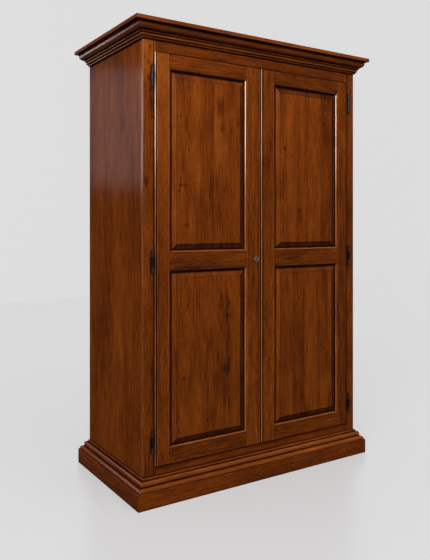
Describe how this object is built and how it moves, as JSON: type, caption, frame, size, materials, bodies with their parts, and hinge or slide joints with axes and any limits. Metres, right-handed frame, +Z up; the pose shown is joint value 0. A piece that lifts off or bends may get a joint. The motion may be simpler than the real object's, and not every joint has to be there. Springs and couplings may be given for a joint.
{
  "type": "kas cupboard",
  "caption": "Tall free-standing wooden cupboard with a moulded cornice and plinth, and raised-panel doors on barrel hinges that open onto shelves and close with a key.",
  "frame": {"origin": "on the floor, under the middle of the cupboard's box", "axes": "+Z up, the doors face -Y, +X to the right of someone who faces the doors"},
  "size_m": [1.304, 0.69, 2],
  "materials": {
    "stained_wood": "stained, satin lacquer",
    "inner_wood": "waxed",
    "hinge_black": "black, satin",
    "key_steel": "dull",
    "lock_steel": "dull"
  },
  "bodies": {
    "cabinet": {"back_bottom_rail": "inner_wood", "back_left_panel": "inner_wood", "back_muntin": "inner_wood", "back_right_panel": "inner_wood", "back_top_rail": "inner_wood", "base_moulding_back": "stained_wood", "base_moulding_front": "stained_wood", "base_moulding_left": "stained_wood", "base_moulding_right": "stained_wood", "bottom_board": "inner_wood", "bottom_rail": "stained_wood", "cornice_back": "stained_wood", "cornice_cover_board": "inner_wood", "cornice_front": "stained_wood", "cornice_left": "stained_wood", "cornice_right": "stained_wood", "frieze_rail": "stained_wood", "hinge_frame_halves": "hinge_black", "hinge_pins": "hinge_black", "left_frame_stile": "stained_wood", "left_side": "stained_wood", "lower_shelf": "inner_wood", "middle_shelf": "inner_wood", "plinth_back_board": "stained_wood", "plinth_corner_blocks": "inner_wood", "plinth_front_board": "stained_wood", "plinth_left_board": "stained_wood", "plinth_right_board": "stained_wood", "right_frame_stile": "stained_wood", "right_side": "stained_wood", "shelf_cleats": "inner_wood", "top_board": "inner_wood", "upper_shelf": "inner_wood"},
    "left_door": {"left_door_bottom_rail": "stained_wood", "left_door_hinge_stile": "stained_wood", "left_door_lower_panel": "stained_wood", "left_door_meeting_stile": "stained_wood", "left_door_middle_rail": "stained_wood", "left_door_top_rail": "stained_wood", "left_door_upper_panel": "stained_wood", "left_hinge_door_halves": "hinge_black", "lock_case": "lock_steel", "lock_screws": "lock_steel"},
    "right_door": {"right_door_bottom_rail": "stained_wood", "right_door_hinge_stile": "stained_wood", "right_door_lower_panel": "stained_wood", "right_door_meeting_stile": "stained_wood", "right_door_middle_rail": "stained_wood", "right_door_screws": "lock_steel", "right_door_top_rail": "stained_wood", "right_door_upper_panel": "stained_wood", "right_hinge_door_halves": "hinge_black", "lock_keeper": "lock_steel", "upper_bolt_guide": "lock_steel", "lower_bolt_guide": "lock_steel"},
    "key": {"key": "key_steel"},
    "lock_bolt": {"lock_bolt": "lock_steel"},
    "upper_bolt": {"upper_bolt": "lock_steel"},
    "lower_bolt": {"lower_bolt": "lock_steel"}
  },
  "joints": [
    {"name": "left_door_hinge", "type": "hinge", "parent": "cabinet", "child": "left_door", "pos_m": [-0.556, -0.296, 1], "axis": [0, 0, -1], "range_deg": [0, 170]},
    {"name": "right_door_hinge", "type": "hinge", "parent": "cabinet", "child": "right_door", "pos_m": [0.556, -0.296, 1], "axis": [0, 0, 1], "range_deg": [0, 170]},
    {"name": "key_turn", "type": "hinge", "parent": "left_door", "child": "key", "pos_m": [-0.045, -0.3, 1.0015], "axis": [0, 1, 0], "range_deg": [0, 180]},
    {"name": "lock_bolt_slide", "type": "slide", "parent": "left_door", "child": "lock_bolt", "axis": [1, 0, 0], "range_m": [0, 0.016]},
    {"name": "upper_bolt_slide", "type": "slide", "parent": "right_door", "child": "upper_bolt", "axis": [0, 0, 1], "range_m": [0, 0.016]},
    {"name": "lower_bolt_slide", "type": "slide", "parent": "right_door", "child": "lower_bolt", "axis": [0, 0, -1], "range_m": [0, 0.016]}
  ],
  "couplings": [
    {"joint": "lock_bolt_slide", "follows": "key_turn", "m_per_rad": 0.005093}
  ]
}
